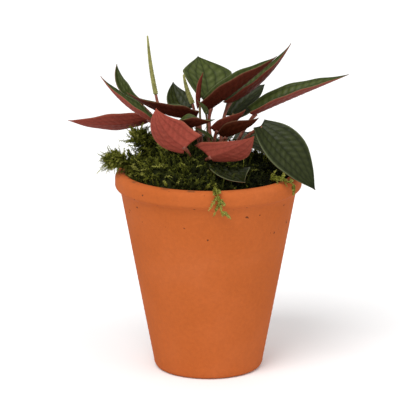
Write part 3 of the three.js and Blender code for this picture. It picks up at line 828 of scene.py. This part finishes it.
def grow_along(name, node, path, count, length, shade, radius, outward):
    """A loose tuft: shoots that spring from a line in every direction, more towards its end."""
    parts = Parts()
    path = np.asarray(path, float)
    spots = bezier(path, np.linspace(0, 1, 40))
    for i in range(count):
        at = rng.uniform(0, 1) ** 0.8
        spot = spots[int(at * 39)]
        side = unit(rng.normal(0, 1, 3))
        start = spot + side * radius * rng.uniform(0, 0.8) * (1 - 0.4 * at)
        way = side + np.asarray(outward, float) * (0.4 + at) + np.array([0, 0, 0.35])
        run = curved_path(start, way, length * rng.uniform(0.5, 1.2), rng.uniform(0, 0.3))
        add_frond(parts, run, shade + 0.30 * at + rng.normal(0, 0.1), 24, rng.uniform(1.1, 1.9), 0.28)
    piece = parts.piece(name, [MOSS_GREEN], "moss")
    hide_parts(node)


def grow_sprig(name, node, path, branches, shade):
    """A single trailing sprig with side branches."""
    parts = Parts()
    path = np.asarray(path, float)
    spots = bezier(path, np.linspace(0, 1, 12))
    add_frond(parts, spots, shade, 80, 2.2, 0.45)
    for i in range(branches):
        at = 1 + int((i + 0.5) / branches * 10)
        way = unit(spots[at + 1 if at < 11 else at] - spots[at - 1])
        side = np.cross(way, (0, -1, 0.3)) * (1 if i % 2 else -1)
        run = curved_path(spots[at], way * 0.8 + side * 0.9, rng.uniform(3.5, 6.5), 0.25, 8)
        add_frond(parts, run, shade + rng.normal(0.05, 0.08), 30, 1.8, 0.32)
    piece = parts.piece(name, [MOSS_GREEN], "moss")
    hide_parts(node)


def build_moss():
    build_moss_bed()

    def front_shade(x, y):
        return 0.30 - 0.005 * x + (0.34 if rng.random() < 0.15 else 0)

    def back_shade(x, y):
        return 0.32 + (0.28 if rng.random() < 0.15 else 0)

    grow_shoots("moss_shoots_front_left", 700, (math.pi, 1.5 * math.pi), front_shade, 7.5)
    grow_shoots("moss_shoots_front_right", 700, (1.5 * math.pi, TAU), front_shade, 6.5)
    grow_shoots("moss_shoots_back_right", 560, (0, 0.5 * math.pi), back_shade, 7.0)
    grow_shoots("moss_shoots_back_left", 640, (0.5 * math.pi, math.pi), back_shade, 8.0)
    grow_along("moss_tuft_left_shoots", "moss_tuft_left",
               [(-34, -12, 117), (-43, -9, 121), (-50, -7, 121.5), (-55, -5, 122)],
               300, 6.0, 0.42, 5.5, (-0.6, 0, 0))
    grow_along("moss_tuft_rear_left_shoots", "moss_tuft_rear_left",
               [(-22, 8, 120), (-30, 6, 125), (-36, 3, 130), (-41, 0, 133)],
               340, 7.0, 0.36, 6.5, (-0.2, 0, 0.5))
    grow_sprig("moss_sprig_front_strands", "moss_sprig_front",
               [(2, -41, 115.5), (4, -50, 118.5), (5, -57, 115), (6, -54, 108), (8, -54.5, 101.5)],
               7, 0.76)
    grow_sprig("moss_sprig_right_strands", "moss_sprig_right",
               [(33, -29, 115.5), (38, -31, 118), (44, -32, 116), (48, -30, 112.5)], 6, 0.74)


# ---------- Stage ----------


def plain_material(name, colour, roughness):
    n = Nodes(name)
    return n.done(colour, roughness)


def build_stage():
    size = 9000  # half the floor's side, mm
    corners = [(-size, -size, 0), (size, -size, 0), (size, size, 0), (-size, size, 0)]
    mesh = bpy.data.meshes.new("floor")
    mesh.from_pydata((np.array(corners) * MM).tolist(), [], [(0, 1, 2, 3)])
    mesh.materials.append(plain_material("floor_paper", (0.95, 0.95, 0.95), 0.9))
    floor = bpy.data.objects.new("floor", mesh)
    bpy.context.scene.collection.objects.link(floor)

    world = bpy.data.worlds.new("studio")
    world.use_nodes = True
    sky = world.node_tree.nodes["Background"]
    sky.inputs["Color"].default_value = (1, 1, 1, 1)
    sky.inputs["Strength"].default_value = 0.62
    bpy.context.scene.world = world
    bpy.context.scene.view_settings.view_transform = "Standard"

    def sun(name, azimuth, elevation, strength, softness):
        light = bpy.data.lights.new(name, "SUN")
        light.energy = strength
        light.angle = math.radians(softness)
        lamp = bpy.data.objects.new(name, light)
        lamp.rotation_euler = (math.radians(90 - elevation), 0, math.radians(azimuth))
        bpy.context.scene.collection.objects.link(lamp)

    sun("key", -28, 52, 1.9, 35)
    sun("fill", 35, 40, 0.7, 60)


def build_camera():
    pitch = 14.43  # degrees down from level
    data = bpy.data.cameras.new("camera")
    data.lens = 237.3
    data.sensor_width = 36
    data.clip_end = 60
    camera = bpy.data.objects.new("camera", data)
    camera.location = (-0.0002, -1.5, 0.478)
    camera.rotation_euler = (math.radians(90 - pitch), 0, 0)
    bpy.context.scene.collection.objects.link(camera)
    bpy.context.scene.camera = camera


build_pot()
build_soil()
build_crown()
for each_leaf in LEAVES:
    build_leaf(each_leaf)
for each_spike in SPIKES:
    build_spike(each_spike)
build_moss()
build_stage()
build_camera()
